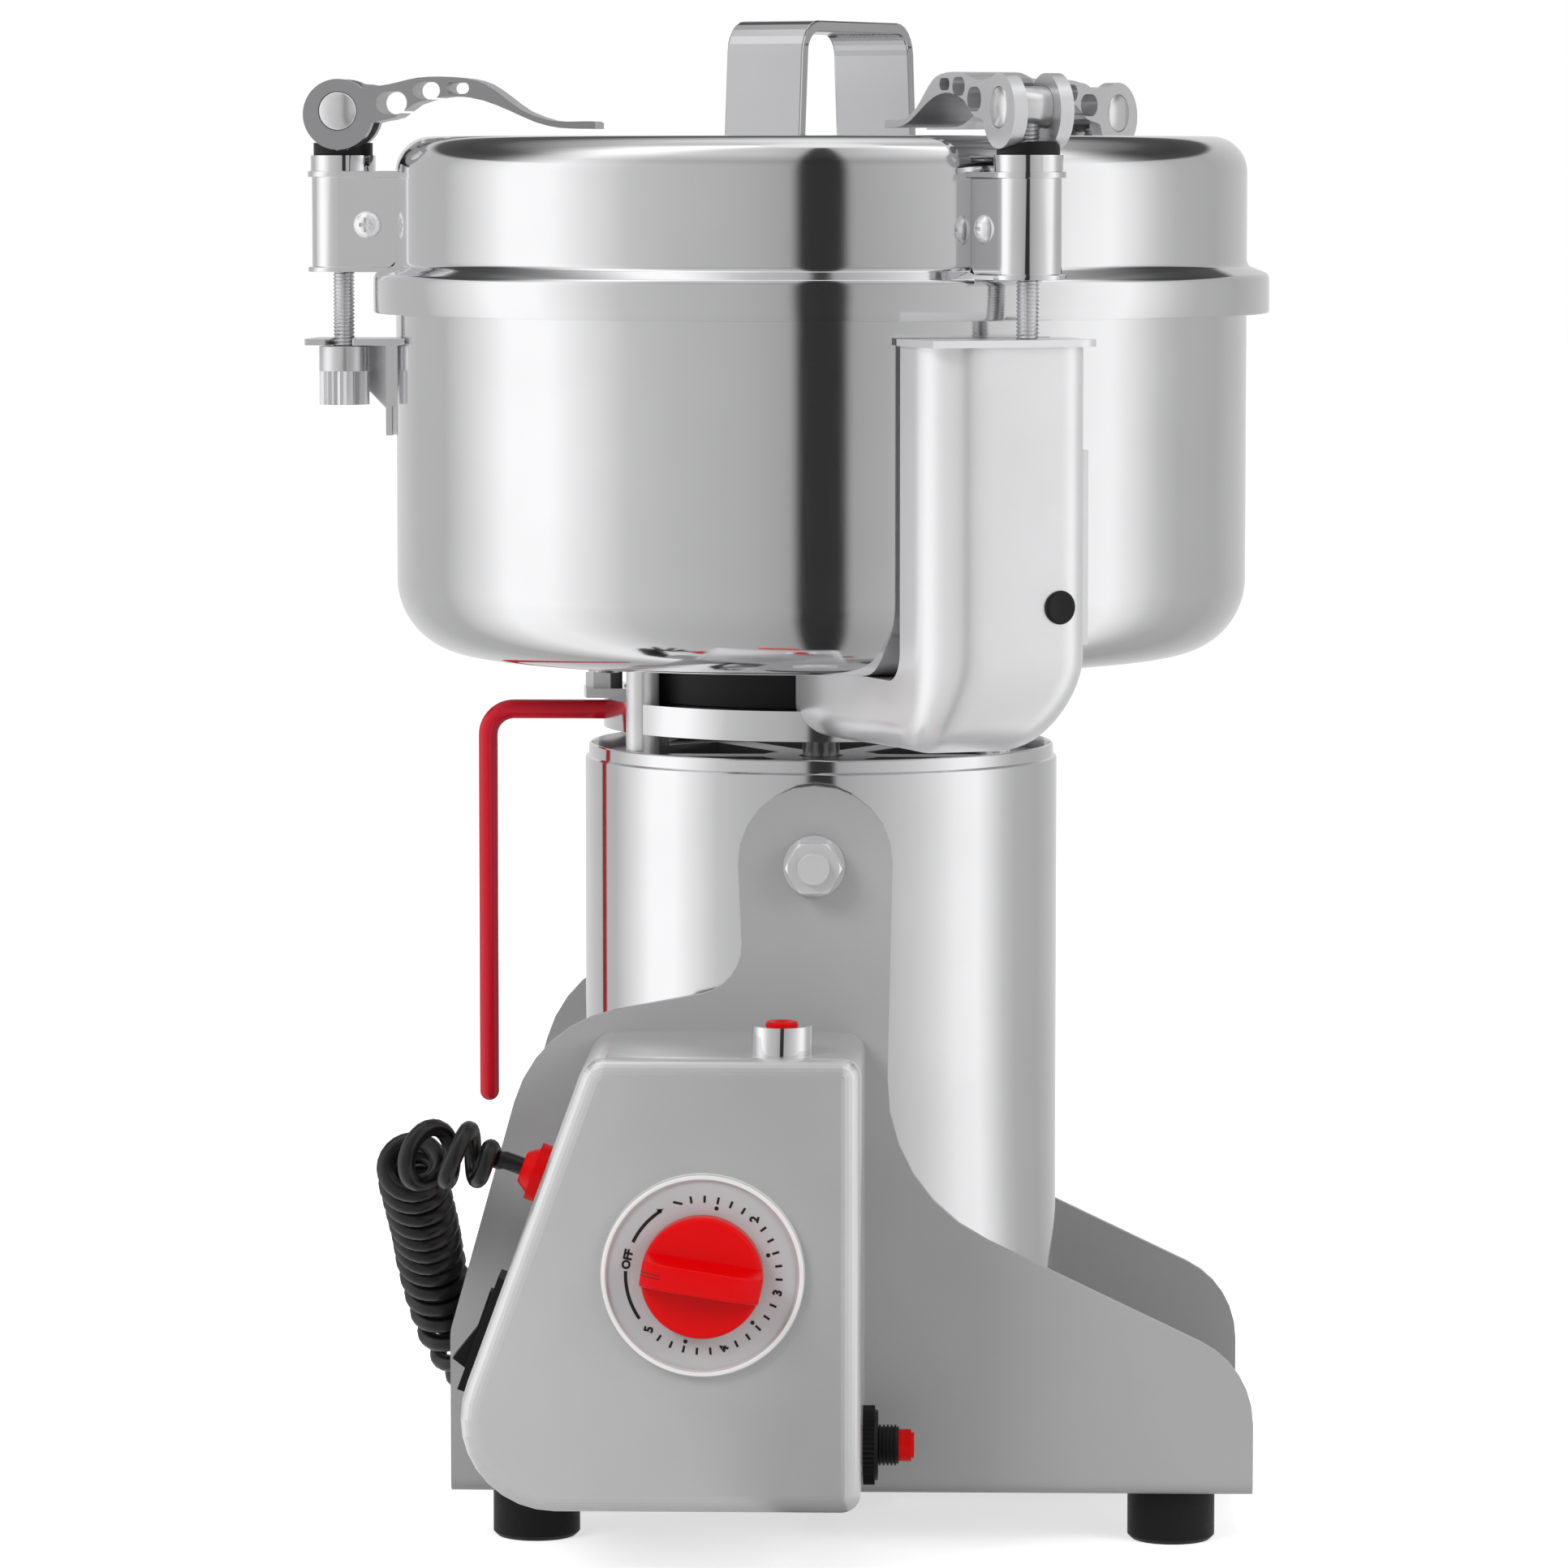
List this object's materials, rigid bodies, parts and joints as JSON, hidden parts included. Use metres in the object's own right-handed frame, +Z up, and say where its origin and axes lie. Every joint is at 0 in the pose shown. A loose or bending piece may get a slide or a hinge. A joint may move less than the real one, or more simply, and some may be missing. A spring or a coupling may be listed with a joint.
{
  "type": "electric grain mill",
  "caption": "Swing-type electric grain mill: a stainless grinding bowl with a clamped lid on an upright motor that tilts in a grey stand with a control box.",
  "frame": {"origin": "middle of the footprint at the underside of the rubber feet", "axes": "+Z up along the motor axis, -Y towards the person at the controls, +X to their right"},
  "size_m": [0.2597, 0.2646, 0.3999],
  "materials": {
    "polished_steel": "polished",
    "brushed_steel": "brushed",
    "grey_paint": "satin",
    "grey_plastic": "satin",
    "black_rubber": "matte",
    "black_plastic": "matte",
    "red_plastic": "gloss",
    "red_sleeve": "gloss",
    "zinc_steel": "satin",
    "cast_alloy": "satin",
    "bearing_steel": "ground",
    "core_steel": "satin",
    "copper": "enamelled",
    "brass": "satin",
    "white_plastic": "satin",
    "dial_face": "satin",
    "gasket_rubber": "matte"
  },
  "bodies": {
    "stand": {"base_stand": "grey_paint", "rubber_feet": "black_rubber", "pivot_bushes": "white_plastic", "control_box": "grey_plastic", "dial_plate": "dial_face", "timer_body": "white_plastic", "start_switch": "polished_steel", "breaker_body": "black_plastic", "breaker_nut": "black_plastic", "rocker_frame": "black_plastic", "cable_gland": "red_plastic", "curly_cord": "black_rubber"},
    "timer_knob": {"timer_knob": "red_plastic"},
    "start_button": {"start_button": "red_plastic"},
    "breaker_button": {"breaker_button": "red_plastic"},
    "rocker_paddle": {"rocker_paddle": "black_plastic"},
    "swing": {"motor_barrel": "polished_steel", "bottom_cover": "black_plastic", "end_brackets": "cast_alloy", "stator_core": "core_steel", "field_coils": "copper", "brush_gear": "brass", "shaft_bearings": "bearing_steel", "pivot_bolts": "zinc_steel", "barrel_gland": "black_plastic", "swing_handle": "red_sleeve", "support_ring": "polished_steel", "ring_bolts": "zinc_steel", "spacer_posts": "polished_steel", "insulating_disc": "black_plastic", "grinding_bowl": "polished_steel", "shaft_seal": "black_rubber", "bowl_brackets": "brushed_steel", "guard_channel": "brushed_steel", "guard_cover": "brushed_steel", "guard_plug": "black_plastic", "safety_switch": "black_plastic"},
    "rotor": {"motor_shaft": "bearing_steel", "armature": "core_steel", "cooling_fan": "black_plastic", "grinding_blades": "brushed_steel", "blade_spacers": "brushed_steel", "blade_nut": "zinc_steel"},
    "lid": {"lid_shell": "polished_steel", "lid_gasket": "gasket_rubber", "lid_handle": "polished_steel", "clamp_brackets": "brushed_steel", "clamp_housings": "polished_steel", "clamp_caps": "polished_steel", "clamp_saddles": "black_plastic", "housing_screws": "zinc_steel"},
    "rod_left": {"clamp_rod_left": "zinc_steel"},
    "nut_left": {"clamp_nut_left": "zinc_steel"},
    "lever_left": {"clamp_lever_left": "cast_alloy"},
    "rod_front": {"clamp_rod_front": "zinc_steel"},
    "nut_front": {"clamp_nut_front": "zinc_steel"},
    "lever_front": {"clamp_lever_front": "cast_alloy"},
    "rod_rear": {"clamp_rod_rear": "zinc_steel"},
    "nut_rear": {"clamp_nut_rear": "zinc_steel"},
    "lever_rear": {"clamp_lever_rear": "cast_alloy"}
  },
  "joints": [
    {"name": "body_tilt", "type": "hinge", "parent": "stand", "child": "swing", "pos_m": [0.00983, 0.01235, 0.18], "axis": [0, 1, 0], "range_deg": [0, 85]},
    {"name": "rotor_spin", "type": "hinge", "parent": "swing", "child": "rotor", "pos_m": [0.00983, 0.01235, 0.2], "axis": [0, 0, 1], "continuous": true},
    {"name": "lid_turn", "type": "hinge", "parent": "swing", "child": "lid", "pos_m": [0.00983, 0.01235, 0.34], "axis": [0, 0, 1], "range_deg": [0, 20]},
    {"name": "timer_turn", "type": "hinge", "parent": "stand", "child": "timer_knob", "pos_m": [-0.01697, -0.11565, 0.0816], "axis": [0, 1, 0], "range_deg": [0, 302]},
    {"name": "start_press", "type": "slide", "parent": "stand", "child": "start_button", "axis": [0, 0, -1], "range_m": [0, 0.0015], "stiffness_N_per_m": 400, "springref_m": -0.001},
    {"name": "breaker_press", "type": "slide", "parent": "stand", "child": "breaker_button", "axis": [-1, 0, 0], "range_m": [0, 0.0015], "stiffness_N_per_m": 400, "springref_m": -0.001},
    {"name": "rocker_tip", "type": "hinge", "parent": "stand", "child": "rocker_paddle", "pos_m": [-0.07296, -0.08765, 0.06166], "axis": [0, -1, 0], "range_deg": [0, 18]},
    {"name": "rod_drop_left", "type": "slide", "parent": "lid", "child": "rod_left", "axis": [0, 0, -1], "range_m": [0, 0.00151]},
    {"name": "lever_left", "type": "hinge", "parent": "rod_left", "child": "lever_left", "pos_m": [-0.11967, 0.02368, 0.3763], "axis": [-0.0872, -0.9962, 0], "range_deg": [0, 150]},
    {"name": "nut_left", "type": "hinge", "parent": "rod_left", "child": "nut_left", "pos_m": [-0.11967, 0.02368, 0.305], "axis": [0, 0, 1], "range_deg": [-180, 180]},
    {"name": "rod_drop_front", "type": "slide", "parent": "lid", "child": "rod_front", "axis": [0, 0, -1], "range_m": [0, 0.00151]},
    {"name": "lever_front", "type": "hinge", "parent": "rod_front", "child": "lever_front", "pos_m": [0.06477, -0.10547, 0.3763], "axis": [0.9063, 0.4226, 0], "range_deg": [0, 150]},
    {"name": "nut_front", "type": "hinge", "parent": "rod_front", "child": "nut_front", "pos_m": [0.06477, -0.10547, 0.305], "axis": [0, 0, 1], "range_deg": [-180, 180]},
    {"name": "rod_drop_rear", "type": "slide", "parent": "lid", "child": "rod_rear", "axis": [0, 0, -1], "range_m": [0, 0.00151]},
    {"name": "lever_rear", "type": "hinge", "parent": "rod_rear", "child": "lever_rear", "pos_m": [0.0844, 0.11884, 0.3763], "axis": [-0.8192, 0.5736, 0], "range_deg": [0, 150]},
    {"name": "nut_rear", "type": "hinge", "parent": "rod_rear", "child": "nut_rear", "pos_m": [0.0844, 0.11884, 0.305], "axis": [0, 0, 1], "range_deg": [-180, 180]}
  ],
  "couplings": [
    {"joint": "rod_drop_left", "follows": "lever_left", "m_per_rad": 0.00057296},
    {"joint": "rod_drop_front", "follows": "lever_front", "m_per_rad": 0.00057296},
    {"joint": "rod_drop_rear", "follows": "lever_rear", "m_per_rad": 0.00057296}
  ]
}
